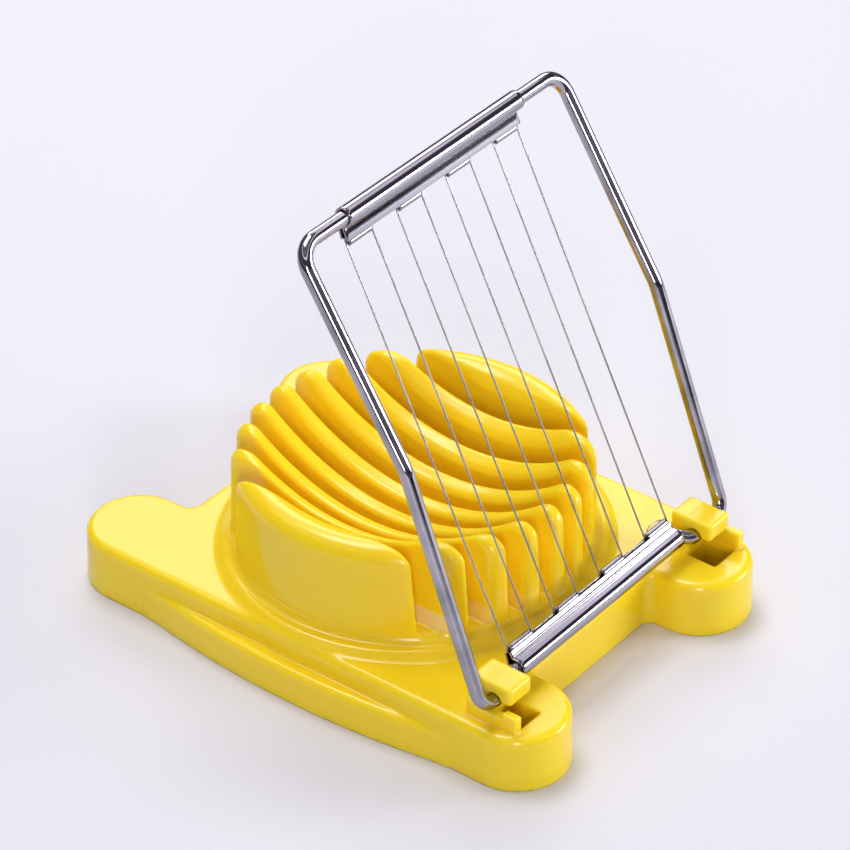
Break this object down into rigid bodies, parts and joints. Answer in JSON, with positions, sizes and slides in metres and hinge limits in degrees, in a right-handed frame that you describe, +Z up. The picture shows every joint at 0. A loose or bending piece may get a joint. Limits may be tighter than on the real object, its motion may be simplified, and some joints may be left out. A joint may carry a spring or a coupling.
{
  "type": "egg slicer",
  "caption": "Egg slicer with a yellow moulded plastic base, a ribbed egg cup and a hinged steel wire frame.",
  "frame": {"origin": "middle of the base's footprint, on the table", "axes": "+X along the hinge axis, across the base; +Y from the hinge end to the far end; +Z up"},
  "size_m": [0.0894, 0.1168, 0.1057],
  "materials": {
    "yellow_plastic": "glossy injection-moulded polypropylene, faintly translucent",
    "frame_steel": "bright plated wire",
    "sheet_steel": "bright plated sheet, slightly satin from stamping",
    "wire_steel": "drawn stainless wire"
  },
  "bodies": {
    "base_body": {"base": "yellow_plastic"},
    "cutting_frame": {"frame_rod": "frame_steel", "upper_wire_holder": "sheet_steel", "lower_wire_holder": "sheet_steel", "cutting_wire_1": "wire_steel", "cutting_wire_2": "wire_steel", "cutting_wire_3": "wire_steel", "cutting_wire_4": "wire_steel", "cutting_wire_5": "wire_steel", "cutting_wire_6": "wire_steel", "cutting_wire_7": "wire_steel", "cutting_wire_8": "wire_steel"}
  },
  "joints": [
    {"name": "frame_hinge", "type": "hinge", "parent": "base_body", "child": "cutting_frame", "pos_m": [0, -0.0464, 0.017], "axis": [1, 0, 0], "range_deg": [-55.5, 120]}
  ]
}
